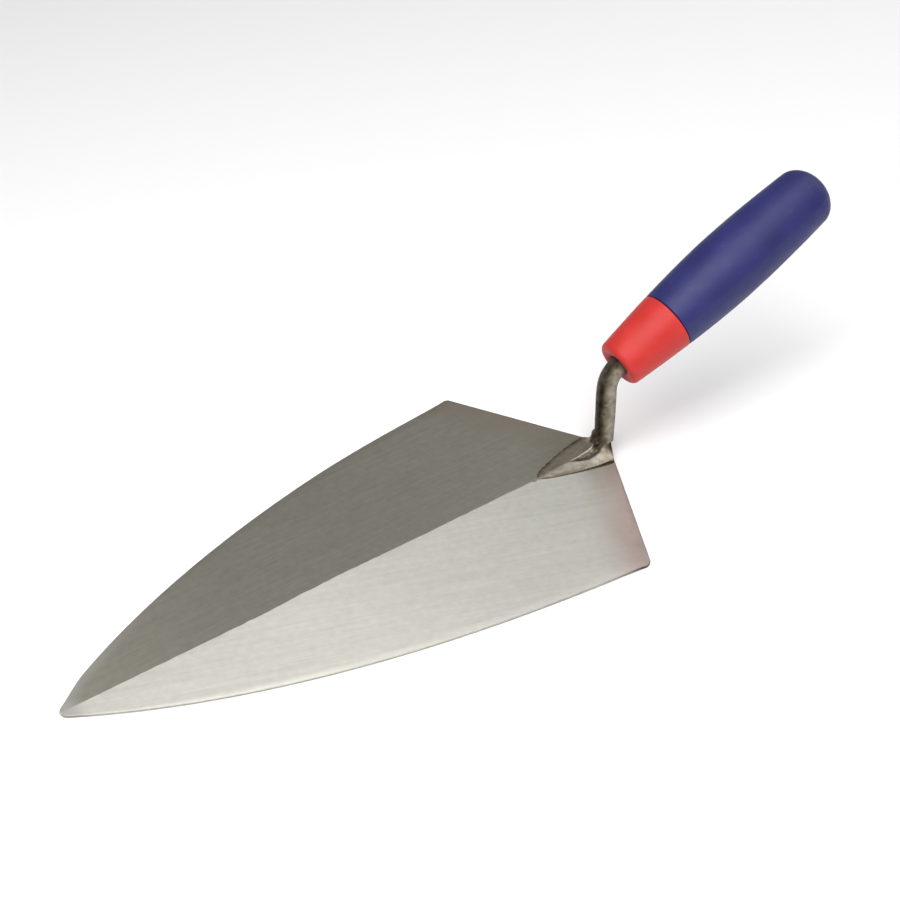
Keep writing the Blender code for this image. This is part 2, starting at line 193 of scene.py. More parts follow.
def between(points, x):
    """Straight-line interpolation through (x, value) pairs in rising order."""
    for (x0, v0), (x1, v1) in zip(points, points[1:]):
        if x <= x1:
            return v0 + (v1 - v0) * max(0, x - x0) / (x1 - x0)
    return points[-1][1]


def bell(x, middle, spread):
    return math.exp(-(((x - middle) / spread) ** 2))


def finish_piece(name, bm, materials, node, smooth_angle=35):
    bmesh.ops.recalc_face_normals(bm, faces=bm.faces)
    mesh = bpy.data.meshes.new(name)
    bm.to_mesh(mesh)
    bm.free()
    for material in materials:
        mesh.materials.append(material)
    mesh.shade_smooth()
    mesh.set_sharp_from_angle(angle=math.radians(smooth_angle))
    piece = bpy.data.objects.new(name, mesh)
    bpy.context.scene.collection.objects.link(piece)
    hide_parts(node)
    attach(piece, "root")
    return piece


def loft(bm, rings, close_start=True, close_end=True):
    """Closed rings of equal length joined in a row; open ends are filled."""
    made = [[bm.verts.new(point) for point in ring] for ring in rings]
    faces = []
    for first, second in zip(made, made[1:]):
        count = len(first)
        for i in range(count):
            j = (i + 1) % count
            faces.append(bm.faces.new((first[i], first[j], second[j], second[i])))
    if close_start:
        bm.faces.new(made[0])
    if close_end:
        bm.faces.new(made[-1])
    return made, faces


# ---------------------------------------------------------------- blade


def cubic(p0, p1, p2, p3, t):
    s = 1 - t
    return p0 * s**3 + p1 * (3 * s * s * t) + p2 * (3 * s * t * t) + p3 * t**3


def half_plan(corner_round, tip_round, bulge):
    """Outline of one half of the blade, from the heel point to the tip."""
    corner = Vector((CORNER_FORWARD, HALF_WIDTH + 0.4 * MM))
    heelward = -corner.normalized()
    tipward = Vector((math.cos(CORNER_TOE_IN), -math.sin(CORNER_TOE_IN)))
    nose = Vector((math.cos(TIP_HALF_ANGLE), -math.sin(TIP_HALF_ANGLE)))
    apex_x = BLADE_LENGTH + tip_round * (1 / math.sin(TIP_HALF_ANGLE) - 1)
    nose_start = Vector((apex_x, 0)) - nose * tip_round / math.tan(TIP_HALF_ANGLE)
    start = corner + heelward * corner_round
    end = corner + tipward * corner_round
    points = [start * t + Vector((HEEL_BLUNT * (1 - t), 0)) for t in HEEL_SHARES]
    points += [cubic(start, start - heelward * corner_round * 0.6,
                     end - tipward * corner_round * 0.6, end, t) for t in spaced(0, 1, 8)]
    full_start, full_end = SIDE_FULLNESS
    sweep = [1 - (1 - t) ** 1.25 for t in spaced(0, 1, 130)]
    points += [cubic(end, end + tipward * full_start, nose_start - nose * full_end, nose_start, t)
               for t in sweep[1:]]
    centre = Vector((BLADE_LENGTH - tip_round, 0))
    first = math.pi / 2 - TIP_HALF_ANGLE
    for angle in spaced(first, 0.04, 9)[1:]:
        points.append(centre + tip_round * Vector((math.cos(angle), math.sin(angle))))
    for point in points:
        from_heel = smooth((point.x - 30 * MM) / (95 * MM))
        point.y += bulge * from_heel * smooth((BLADE_LENGTH - point.x) / (18 * MM))
    return points


PLANS = {side: half_plan(CORNER_ROUND[side], TIP_ROUND[side], SIDE_BULGE[side])
         for side in (1, -1)}


def ridge_wander(x):
    """The hand-ground ridge is not quite straight."""
    share = smooth(x / (40 * MM)) * smooth((BLADE_LENGTH - x) / (25 * MM))
    waver = 0.4 * MM * math.sin(x / (31 * MM) + 0.6) + 0.2 * MM * math.sin(x / (13.7 * MM))
    return share * (waver + 0.35 * MM * noise.noise(Vector((x * 230, 1.3, 0))))


def blade_height(x, y, width):
    """Height of the ground top: two facets, each very slightly crowned and uneven."""
    ridge = RIDGE_AT_HEEL + (RIDGE_AT_TIP - RIDGE_AT_HEEL) * x / BLADE_LENGTH
    off = abs(y - ridge_wander(x))
    fall = (RIDGE_AT_HEEL - EDGE_THICKNESS - 0.18 * MM) * min(1, off / HALF_WIDTH)
    crown = 0.035 * MM * math.sin(math.pi * min(1, off / max(width, 1 * MM))) * smooth(width / 0.05)
    swell = noise.noise(Vector((x * 26, y * 40, 3.7))) * 0.02 * MM
    return ridge - fall + crown + swell


def blade_side(x, side, width, lean):
    """One half of a cross-section, from the ridge round the edge to near the middle underneath."""
    widest = EDGE_ROUND[0][0]
    insets = [min(inset * MM / lean, width * 0.9 * inset / widest) for inset, _ in EDGE_ROUND]
    flat = width - insets[0]
    wander = ridge_wander(x)
    points = []
    for share in FACET_SHARES:
        y = wander + (side * flat - wander) * share
        points.append((y, blade_height(x, y, width)))
    edge_top = blade_height(x, side * width, width)
    for inset, (_, drop) in zip(insets[1:], EDGE_ROUND[1:]):
        points.append((side * (width - inset), edge_top - drop * MM))
    for inset, (_, drop) in zip(insets[:0:-1], EDGE_ROUND[:0:-1]):
        points.append((side * (width - inset), drop * MM * 0.8))
    return points + [(side * flat * share, 0) for share in (1, 0.66, 0.33)]


def blade_tint(place):
    """How heat-tinted and how worn the steel is: tinted by the heel, worn at the tip."""
    x, y = place.x, place.y
    from_heel = x - HEEL_SLANT * abs(y)
    patch = 1 + 0.5 * noise.noise(Vector((x * 90, y * 60, 0)))
    heat = smooth(1 - from_heel / HEAT_REACH) * (0.25 + 0.6 * smooth(abs(y) / (62 * MM))) * patch
    wear = smooth((x - WEAR_AT) / WEAR_FADE)
    if y < 0:
        far_edge = between(PLANS[-1], x) + y
        along_edge = 0.7 * smooth(1 - far_edge / (7 * MM)) * smooth((x - 205 * MM) / (60 * MM))
        wear = max(wear, along_edge)
    return heat, wear


def add_blade(near, far, rim):
    corner_points = len(HEEL_SHARES) + 9  # of the -Y side, whose corner is the sharper one
    shared = [*PLANS[1], *PLANS[-1][:corner_points]]
    stations = sorted({round(point.x, 6) for point in shared})
    kept = [stations[0]]
    for x in stations[1:]:
        if x - kept[-1] > 0.05 * MM:
            kept.append(x)
    rings = []
    for x in kept:
        halves = {}
        for side in (1, -1):
            width = between(PLANS[side], x)
            step = 0.2 * MM
            ahead, behind = between(PLANS[side], x + step), between(PLANS[side], x - step)
            slope = (ahead - behind) / (2 * step)
            halves[side] = blade_side(x, side, width, 1 / math.hypot(1, slope))
        ring = [*halves[1], (0, 0), *reversed(halves[-1][1:])]
        rings.append([HEEL + Vector((x, y, z)) for y, z in ring])
    bm = bmesh.new()
    _, faces = loft(bm, rings)
    facet_faces = len(FACET_SHARES) - 1
    around = len(rings[0])
    for number, face in enumerate(faces):
        place = number % around
        if place < facet_faces:
            face.material_index = 0
        elif place >= around - facet_faces:
            face.material_index = 1
        else:
            face.material_index = 2
    grain = bm.loops.layers.uv.new("grain")
    for face in bm.faces:
        angle = STREAK_ANGLE[1 if face.material_index == 0 else -1]
        along = Vector((-math.cos(angle), math.sin(angle), 0))
        across = Vector((math.sin(angle), math.cos(angle), 0))
        for corner in face.loops:
            place = corner.vert.co - HEEL
            corner[grain].uv = (place.dot(along), place.dot(across) + place.z * 0.7)
    paint(bm, "tint", blade_tint)
    return finish_piece("blade_ground", bm, (near, far, rim), "blade", 20)


# ---------------------------------------------------------------- handle


HANDLE_AXIS = Vector((-math.cos(HANDLE_TILT), 0, math.sin(HANDLE_TILT)))
HANDLE_UP = Vector((math.sin(HANDLE_TILT), 0, math.cos(HANDLE_TILT)))


def handle_radius(distance):
    if distance < SWELL_AT:
        return SWELL_RADIUS - (SWELL_RADIUS - FRONT_RADIUS) * (1 - distance / SWELL_AT) ** 1.6
    share = (distance - SWELL_AT) / (BUTT_AT - SWELL_AT)
    return SWELL_RADIUS - (SWELL_RADIUS - BUTT_RADIUS) * share**2


def handle_point(radius, angle, distance):
    aside = Vector((0, math.cos(angle), 0)) + HANDLE_UP * math.sin(angle)
    return HEEL + HANDLE_FRONT + HANDLE_AXIS * distance + aside * radius


def turned(profile, steps, shape):
    """Rings about the handle's axis; shape(radius, distance, angle) gives the real radius."""
    rings = []
    for radius, distance in profile:
        ring = []
        for step in range(steps):
            angle = 2 * math.pi * step / steps
            ring.append(handle_point(shape(radius, distance, angle), angle, distance))
        rings.append(ring)
    return rings


def rounded(corner, before, after, size, count=4):
    """Points that turn a profile's corner with a round of about this size."""
    corner, before, after = Vector(corner), Vector(before), Vector(after)
    start = corner + (before - corner).normalized() * size
    end = corner + (after - corner).normalized() * size
    return [tuple(start * (1 - t) ** 2 + corner * (2 * t * (1 - t)) + end * t * t)
            for t in spaced(0, 1, count)]


def grip_shape(radius, distance, angle):
    """The moulded grip: a faint parting line on each side and a little unevenness."""
    if distance < SEAM_AT + 1 * MM or radius < SPIGOT_RADIUS + 1 * MM:
        return radius
    fade = smooth((distance - SEAM_AT) / (4 * MM)) * smooth((radius - 11 * MM) / (3 * MM))
    parting = math.exp(-((math.sin(angle - 0.35) / 0.022) ** 2))
    uneven = noise.noise(Vector((math.cos(angle) * 1.5, math.sin(angle) * 1.5, distance * 35)))
    return radius + fade * (0.06 * MM * parting + 0.07 * MM * uneven)


def add_grip(material):
    start = SEAM_AT + GAP
    profile = [(0.15 * MM, BUTT_AT + BUTT_DEPTH)]
    for angle in spaced(0.06, math.pi / 2, 24):
        profile.append((BUTT_RADIUS * math.sin(angle), BUTT_AT + BUTT_DEPTH * math.cos(angle)))
    for distance in spaced(BUTT_AT, start + 1.2 * MM, 60)[1:]:
        profile.append((handle_radius(distance), distance))
    lip = handle_radius(start)
    profile += rounded((lip, start), (lip, start + 1 * MM), (lip - 1 * MM, start), 0.6 * MM)
    inside = SPIGOT_RADIUS + GAP
    profile += [(inside + 1 * MM, start + 0.2 * MM), (inside, start + 0.3 * MM)]
    profile += [(inside, distance) for distance in spaced(start + 3 * MM, SPIGOT_END, 8)]
    profile += [(inside - 0.3 * MM, SPIGOT_END + GAP), (0.15 * MM, SPIGOT_END + GAP)]
    bm = bmesh.new()
    loft(bm, turned(profile, 160, grip_shape))
    return finish_piece("grip_sleeve", bm, (material,), "grip")


def core_shape(radius, distance, angle):
    if radius < SPIGOT_RADIUS or distance > SEAM_AT - 0.2 * MM:
        return radius
    fade = smooth((radius - 9 * MM) / (2 * MM)) * smooth((SEAM_AT - distance) / (2 * MM))
    uneven = noise.noise(Vector((math.cos(angle) * 2, math.sin(angle) * 2, distance * 60)))
    parting = math.exp(-((math.sin(angle - 0.35) / 0.03) ** 2))
    return radius + fade * (0.04 * MM * uneven + 0.03 * MM * parting)


def dish_painted_shade(place):
    """How much of the dish's painted shade, a deeper red, a point has: all of it round the shank,
    none outside.
    """
    along = (place - HANDLE_FRONT).dot(HANDLE_AXIS)
    off = (place - HANDLE_FRONT - HANDLE_AXIS * along).length
    return smooth((9.4 * MM - off) / (2.6 * MM)) * smooth((3 * MM - along) / (2 * MM)), 0


def add_handle_core(material):
    front_round = 2.6 * MM
    shoulder = handle_radius(front_round) - front_round
    profile = [(0.15 * MM, SPIGOT_END), (SPIGOT_RADIUS - 1 * MM, SPIGOT_END),
               (SPIGOT_RADIUS, SPIGOT_END - 1 * MM)]
    profile += [(SPIGOT_RADIUS, distance) for distance in spaced(SPIGOT_END - 8 * MM, SEAM_AT, 10)]
    seam = handle_radius(SEAM_AT)
    profile += rounded((seam, SEAM_AT), (seam - 1 * MM, SEAM_AT), (seam, SEAM_AT - 1 * MM),
                       0.6 * MM)
    for distance in spaced(SEAM_AT - 1.4 * MM, front_round, 26):
        profile.append((handle_radius(distance), distance))
    for angle in spaced(0, math.pi / 2, 8)[1:]:
        turn_in, turn_up = math.cos(angle), 1 - math.sin(angle)
        profile.append((shoulder + front_round * turn_in, front_round * turn_up))
    profile += [(radius * MM, depth * MM) for radius, depth in DISH] + [(BORE_RADIUS, 1.4 * MM)]
    profile += [(BORE_RADIUS, distance) for distance in spaced(8 * MM, TANG_LENGTH + 1 * MM, 8)]
    profile.append((0.15 * MM, TANG_LENGTH + 1 * MM))
    bm = bmesh.new()
    loft(bm, turned(profile, 128, core_shape))
    paint(bm, "tint", dish_painted_shade)
    return finish_piece("handle_core_moulded", bm, (material,), "handle_core")


# ---------------------------------------------------------------- shank, bolster and welds


def shank_route():
    """(centre, direction, radius) along the bar, from inside the bolster to the tang's end."""
    turn = math.pi / 2 - HANDLE_TILT
    run_back = (HANDLE_FRONT.x - SHANK_X) / HANDLE_AXIS.x
    corner = HANDLE_FRONT - HANDLE_AXIS * run_back
    bend_start = corner.z - BEND_RADIUS * math.tan(turn / 2)
    foot = PAD_TOP - FOOT_DEPTH
    route = []
    for z in spaced(foot, bend_start, 44)[:-1]:
        radius = BAR_RADIUS + BAR_GROWTH * smooth((z - foot) / (12 * MM))
        route.append((Vector((SHANK_X, 0, z)), Vector((0, 0, 1)), radius))
    for share in spaced(0, 1, 30):
        angle = turn * share
        centre = Vector((SHANK_X - BEND_RADIUS * (1 - math.cos(angle)), 0,
                         bend_start + BEND_RADIUS * math.sin(angle)))
        along = Vector((-math.sin(angle), 0, math.cos(angle)))
        route.append((centre, along, BAR_RADIUS + BAR_GROWTH))
    tang = [(3, 4.5), (4.5, 4.5), (6, 4.5), (10, 4.0), (14, 3.4), (22, 3.4)]  # distance and radius
    for barb in TANG_BARBS:
        tang += [(barb, 3.4), (barb + 1, 4.2), (barb + 4, 3.8), (barb + 8, 3.4)]
    tang += [(74, 3.4), (80, 3.4), (TANG_LENGTH / MM, 1.7)]
    for distance, radius in tang:
        route.append((HANDLE_FRONT + HANDLE_AXIS * distance * MM, HANDLE_AXIS, radius * MM))
    return route


def add_shank(material):
    steps = 96
    bm = bmesh.new()
    rings = []
    for centre, along, radius in shank_route():
        outside = (centre - HANDLE_FRONT).dot(HANDLE_AXIS) < 1 * MM
        across = along.cross(Vector((0, 1, 0)))
        flare = FLARE * smooth((FLARE_TOP - centre.z) / FLARE_FALL) ** 1.3
        ring = []
        for step in range(steps):
            angle = 2 * math.pi * step / steps
            aside = Vector((0, math.cos(angle), 0)) + across * math.sin(angle)
            spot = centre + aside * radius
            size = radius
            if outside:
                size *= 1 - FLAT_DEPTH * (1 - math.cos(FLATS * (angle - DARK_REFLECTION_AT)))
                size += noise.noise(spot * 150) * 0.14 * MM + noise.noise(spot * 600) * 0.03 * MM
                size += flare * max(0, aside.dot(FRONT_LEFT)) ** 2
            ring.append(HEEL + centre + aside * size)
        rings.append(ring)
    made, faces = loft(bm, rings)
    tone = bm.loops.layers.uv.new("tone")
    where = {vert: step for ring in made for step, vert in enumerate(ring)}
    for face in faces:
        for corner in face.loops:
            angle = 2 * math.pi * where[corner.vert] / steps
            # Painted reflection: a dark stripe, a fainter second one beside it and a lighter strip,
            # round the bar
            round_bar = math.remainder(angle - DARK_REFLECTION_AT, 2 * math.pi)
            dark = bell(round_bar, 0, 0.38) + 0.2 * bell(round_bar, -0.75, 0.3)
            light = bell(round_bar, 1.05, 0.5)
            corner[tone].uv = (0.46 - 0.38 * dark + 0.16 * light, 0.5)
    return finish_piece("shank_forged", bm, (material,), "shank", 40)


def bolster_width(x):
    """Half the width at x, in mm; behind the corners it follows the heel's edges."""
    corner_x, corner_y = BOLSTER_CORNER
    if x < corner_x:
        return corner_y * (x - BOLSTER_BACK) / (corner_x - BOLSTER_BACK)
    return between(BOLSTER_SIDE, x)


def hollow_share(x, y):
    """How deep a point lies in the pitted hollow between the crests: 0 outside, up to 1."""
    crest_out = between(CREST_OUT, x)
    if y <= 0 or y >= crest_out or between(HOLLOW, x) == 0:
        return 0
    share = y / crest_out
    return 4 * share * (1 - share) * min(1, between(HOLLOW, x) / 0.4)


def bolster_height(x, y):
    """The forged top: a ridge with a -Y face, a pitted hollow, a +Y flank and a neck."""
    side = between(BOLSTER_SIDE, x) if x > BOLSTER_CORNER[0] else BOLSTER_CORNER[1] + 0.1
    ridge, crest = between(RIDGE_LINE, x), between(CREST_LINE, x)
    lip = between(LIP_NEAR if y > 0 else LIP_FAR, x)
    crest_out = min(between(CREST_OUT, x), side * 0.6)
    if y <= 0:
        share = min(1, -y / side)
        height = ridge + (lip - ridge) * share ** (0.6 + 0.4 * smooth((x - 6) / 8))
    elif y < crest_out:
        share = y / crest_out
        depth = between(HOLLOW, x) * 4 * share * (1 - share) * 0.8
        height = ridge + (crest - ridge) * share - depth
    else:
        share = min(1, (y - crest_out) / (side - crest_out))
        height = lip + (crest - lip) * (1 - share ** 1.5)
    off_x, off_y = x - SHANK_X / MM, y
    away = math.hypot(off_x, off_y)
    to_front_left = (off_x * FRONT_LEFT.x + off_y * FRONT_LEFT.y) / max(away, 0.01)
    behind = max(0, -to_front_left)
    neck_radius = 4.5 - 0.9 * behind + 0.7 * max(0, to_front_left)
    slope = 1.5 + 2.0 * behind
    neck = PAD_TOP / MM - RIDGE_AT_HEEL / MM - slope * max(0, away - neck_radius)
    blend = 0.45  # mm, over which the neck and the face run into each other
    over = (neck - height) / blend
    if over > 8:
        height = neck
    elif over > -8:
        height += blend * math.log1p(math.exp(over))
    place = Vector((x, y, 0))
    pits = hollow_share(x, y)
    rough = noise.noise(place * 0.35) * 0.1 + noise.noise(place * 1.1) * (0.05 + 0.22 * pits)
    rough += noise.noise(place * 2.4) * (0.02 + 0.12 * pits)
    return min(height, BOLSTER_TOP) + rough * smooth(height / 0.5)


def bolster_tone(place):
    """(lightness, mottling) over the bolster: dark oxide, a painted highlight along the arris,
    painted light on the +Y flank, painted shade on the neck's +Y slope and behind the bar, pitted
    hollow.
    """
    x, y, z = place.x / MM, place.y / MM, place.z / MM
    away = math.hypot(x - SHANK_X / MM, y)
    pits = hollow_share(x, y)
    crest_out = between(CREST_OUT, x)
    side = bolster_width(x)
    tone = 0.66 - 0.16 * smooth((-y - side + 2) / 2)
    if y > 0:
        # Painted light: the +Y flank beyond the crest is made lighter, as the lit face
        flank = smooth((y - crest_out + 0.7) / 0.7)
        tone = 0.4 + 0.52 * flank * smooth((x - 3.5) / 3)
        tone -= 0.26 * smooth((y / side - 0.55) / 0.45) + 0.2 * smooth((x - 22) / 14)
    # Painted highlight: a light stripe along the arris of the ridge
    tone += 0.5 * bell(y, 0.1, 0.35) * smooth((x - 9) / 2) * (1 - smooth((x - 20) / 4))
    tone = tone * (1 - pits) + 0.36 * pits
    # Painted shade: darker high on the neck's +Y slope, where it would otherwise catch a bright
    # reflection
    if y > 0:
        tone -= 0.38 * smooth((z - 4.4) / 1.5)
    # Painted shade: slightly darker behind the bar
    behind = smooth((3.0 - x) / 2.5) * smooth((away - 3.6) / 1)
    tone -= 0.05 * behind
    return min(1, max(0, tone)), min(1, 0.2 + pits)


def add_bolster(material):
    across = spaced(-1, 1, 64)
    corner_x = BOLSTER_CORNER[0]
    stations = spaced(BOLSTER_BACK + 0.4, corner_x, 16)
    stations += spaced(corner_x, BOLSTER_TOE, 100)[1:]
    base = RIDGE_AT_HEEL / MM
    rings = []
    for x in stations:
        width = bolster_width(x)
        top = [(share * width, base + bolster_height(x, share * width)) for share in across]
        under = [(share * width, base - BOLSTER_SKIRT) for share in (1, 0.5, 0, -0.5, -1)]
        rings.append([HEEL + Vector((x, y, z)) * MM for y, z in [*top, *under]])
    bm = bmesh.new()
    loft(bm, rings)
    top = [vert for vert in bm.verts if vert.co.z > RIDGE_AT_HEEL]
    bmesh.ops.smooth_vert(bm, verts=top, factor=0.3, use_axis_z=True)
    paint(bm, "tone", bolster_tone)
    return finish_piece("bolster_forged", bm, (material,), "bolster", 50)


def far_bead_tone(_):
    return 0.4, 0.5


def near_bead_tone_and_shadow(place):
    """Darker towards the heel: a painted shadow of the gap under the bolster's +Y edge."""
    return 0.46 - 0.2 * smooth((24 * MM - place.x) / (12 * MM)), 0.5


def toe_tone(_):
    return 0.72, 0.9


def add_side_bead(name, side, node, material):
    """The flat bead between one side of the bolster and the blade."""
    seam = [Vector((x, side * y)) * MM for x, y in BOLSTER_SIDE[::-1]]
    lengths = [0]
    for first, second in zip(seam, seam[1:]):
        lengths.append(lengths[-1] + (second - first).length)
    steps = 14
    rings = []
    for share in spaced(0, 1, 130):
        run = share * lengths[-1]
        place = max(i for i, length in enumerate(lengths[:-1]) if length <= run)
        along = (seam[place + 1] - seam[place]).normalized()
        spot = seam[place] + along * (run - lengths[place])
        outward = Vector((-along.y, along.x)) * -side
        taper = smooth(share / 0.08) * smooth((1 - share) / 0.03)
        width, height = SIDE_BEAD
        if side > 0:
            width = THIN_BEAD[0] + THIN_BEAD_GROWTH[0] * share**2.5
            height = THIN_BEAD[1] + THIN_BEAD_GROWTH[1] * share
        lumps = noise.noise(Vector((run * 500, side, 0)))
        width *= (0.25 + 0.75 * taper) * (1 + 0.25 * lumps) * MM
        lumps = noise.noise(Vector((run * 700, side, 7)))
        height *= (0.4 + 0.6 * taper) * (1 + 0.4 * lumps) * MM
        centre = spot + outward * 0.3 * width
        centre = Vector((centre.x, centre.y, blade_height(centre.x, centre.y, HALF_WIDTH)))
        ring = []
        for step in range(steps):
            angle = 2 * math.pi * step / steps
            point = centre + outward.to_3d() * (width * math.cos(angle))
            point += Vector((0, 0, height * math.sin(angle)))
            push = noise.noise(point * 1100) * 0.06 * MM
            ring.append(HEEL + point + (point - centre).normalized() * push)
        rings.append(ring)
    bm = bmesh.new()
    loft(bm, rings)
    paint(bm, "tone", far_bead_tone if side < 0 else near_bead_tone_and_shadow)
    return finish_piece(name, bm, (material,), node, 60)


def add_toe_weld(material):
    """A thin ground-down run of weld where the bolster's toe meets the blade's ridge."""
    around = 56
    half_length, half_width = TOE_WELD_SIZE
    rings = []
    for share in spaced(0.03, 1, 18):
        ring = []
        for step in range(around):
            angle = 2 * math.pi * step / around
            ahead, aside = math.cos(angle), math.sin(angle)
            reach = 1 + 0.3 * noise.noise(Vector((ahead, aside, 2)) * 1.6)
            off = Vector((half_length * ahead, half_width * aside, 0)) * (MM * reach * share)
            spot = TOE_WELD_AT + off
            lumps = 0.08 * noise.noise(spot * 900) + 0.05 * noise.noise(spot * 2200)
            dome = TOE_WELD_RISE * (1 - share**2) + lumps * MM
            spot.z = blade_height(spot.x, spot.y, HALF_WIDTH) + dome + 0.02 * MM
            ring.append(HEEL + spot)
        rings.append(ring)
    bm = bmesh.new()
    made, _ = loft(bm, rings, close_end=False)
    skirt = [bm.verts.new(vert.co - Vector((0, 0, 0.3 * MM))) for vert in made[-1]]
    for i, low in enumerate(skirt):
        j = (i + 1) % around
        bm.faces.new((made[-1][i], made[-1][j], skirt[j], low))
    bm.faces.new(skirt)
    paint(bm, "tone", toe_tone)
    return finish_piece("weld_toe_patch", bm, (material,), "weld_toe", 60)


def add_neck_weld(material):
    """The fillet of weld between the bar's foot and the bolster, thick in front and thin behind."""
    around, turns = 120, 10
    bm = bmesh.new()
    loops = []
    for step in range(around):
        angle = 2 * math.pi * step / around
        outward = Vector((math.cos(angle), math.sin(angle), 0))
        facing = outward.dot(FRONT_LEFT)
        front = smooth(0.5 + 0.62 * facing)
        lumps = 1 + 0.3 * noise.noise(outward * 2.1)
        size = (NECK_FILLET[0] + NECK_FILLET[1] * front) * MM * lumps
        start = BAR_RADIUS + NECK_FLARE * (max(0, facing) ** 2 - max(0, -facing)) + 0.1 * MM
        reach = start + size
        landing = Vector((SHANK_X, 0, 0)) + outward * reach
        low = RIDGE_AT_HEEL + bolster_height(landing.x / MM, landing.y / MM) * MM - 0.1 * MM
        low = min(low, PAD_TOP - 0.2 * MM)
        high = PAD_TOP + (NECK_RISE[0] + NECK_RISE[1] * front) * MM
        section = [(start - 0.6 * MM, low - 0.5 * MM), (start - 0.6 * MM, high)]
        for turn in spaced(0, math.pi / 2, turns):
            bead = 0.3 * MM * smooth(turn / 0.8) - 0.2 * MM
            off = start + bead + size * (1 - math.cos(turn))
            section.append((off, high - (high - low) * math.sin(turn)))
        section.append((reach + 0.1 * MM, low - 0.5 * MM))
        loop = []
        for number, (off, z) in enumerate(section):
            spot = Vector((SHANK_X, 0, z)) + outward * off
            if number > 2:
                spot += outward * noise.noise(spot * 420) * 0.2 * MM * front
                spot += outward * noise.noise(spot * 1300) * 0.06 * MM
            loop.append(bm.verts.new(HEEL + spot))
        loops.append(loop)
    count = len(loops[0])
    for first, second in zip(loops, [*loops[1:], loops[0]]):
        for i in range(count):
            j = (i + 1) % count
            bm.faces.new((first[i], first[j], second[j], second[i]))
    paint(bm, "tone", neck_tone_and_reflection)
    return finish_piece("weld_neck_ring", bm, (material,), "weld_neck", 60)


def neck_tone_and_reflection(place):
    """(lightness, mottling) round the neck's weld: the bar's painted reflection carried on, darkest
    in front, lightest towards +Y.
    """
    direction = math.atan2(place.y, place.x - SHANK_X)
    dark = bell(direction, math.radians(30), 0.35) + 0.5 * bell(direction, math.radians(-20), 0.4)
    light = bell(direction, math.radians(80), 0.25)
    return min(1, max(0, 0.46 - 0.2 * dark + 0.2 * light)), 0.5


# ---------------------------------------------------------------- materials


class Graph:
    """A material's node tree, with short calls for its nodes."""

    def __init__(self, name):
        self.material = bpy.data.materials.new(name)
        self.material.use_nodes = True
        self.tree = self.material.node_tree
        self.shader = self.tree.nodes["Principled BSDF"]

    def add(self, kind, inputs=None, **settings):
        node = self.tree.nodes.new(kind)
        for key, value in settings.items():
            setattr(node, key, value)
        for key, value in (inputs or {}).items():
            self.put(value, node.inputs[key])
        return node

    def put(self, value, socket):
        if isinstance(value, bpy.types.NodeSocket):
            self.tree.links.new(value, socket)
        else:
            socket.default_value = value

    def set(self, **values):
        for key, value in values.items():
            self.put(value, self.shader.inputs[key.replace("_", " ")])

    def noise(self, vector, scale, detail=2.0, roughness=0.5):
        inputs = {"Vector": vector, "Scale": scale, "Detail": detail, "Roughness": roughness}
        return self.add("ShaderNodeTexNoise", inputs).outputs["Fac"]

    def stretched(self, vector, scale):
        node = self.add("ShaderNodeMapping", {"Vector": vector, "Scale": scale})
        return node.outputs["Vector"]

    def uv(self, name):
        return self.add("ShaderNodeUVMap", uv_map=name).outputs[0]

    def place(self):
        return self.add("ShaderNodeTexCoord").outputs["Object"]

    def painted(self, name):
        """The two numbers of a UV layer that a mesh's paint() call wrote."""
        node = self.add("ShaderNodeSeparateXYZ", {"Vector": self.uv(name)})
        return node.outputs["X"], node.outputs["Y"]

    def blend(self, first, second, share):
        """first * share + second * (1 - share)"""
        return self.math("MULTIPLY_ADD", first, share, self.math("MULTIPLY", second, 1 - share))

    def math(self, operation, first, second=0.0, third=0.0):
        node = self.add("ShaderNodeMath", {0: first, 1: second, 2: third}, operation=operation)
        return node.outputs[0]

    def ramp(self, factor, stops):
        node = self.add("ShaderNodeValToRGB", {"Fac": factor})
        elements = node.color_ramp.elements
        while len(elements) < len(stops):
            elements.new(0.5)
        for element, (position, colour) in zip(elements, stops):
            element.position = position
            element.color = (*colour, 1)
        return node.outputs["Color"]

    def remap(self, value, low, high, to_low=0.0, to_high=1.0):
        """Clamped outside low and high."""
        node = self.add("ShaderNodeMapRange",
                        {0: value, 1: low, 2: high, 3: to_low, 4: to_high})
        return node.outputs[0]

    def mix(self, factor, first, second):
        node = self.add("ShaderNodeMix", data_type="RGBA")
        self.put(factor, node.inputs[0])
        for value, socket in ((first, node.inputs[6]), (second, node.inputs[7])):
            self.put((*value, 1) if isinstance(value, tuple) and len(value) == 3 else value, socket)
        return node.outputs[2]

    def bump(self, height, distance, strength=1.0):
        node = self.add("ShaderNodeBump",
                        {"Height": height, "Distance": distance, "Strength": strength})
        return node.outputs["Normal"]


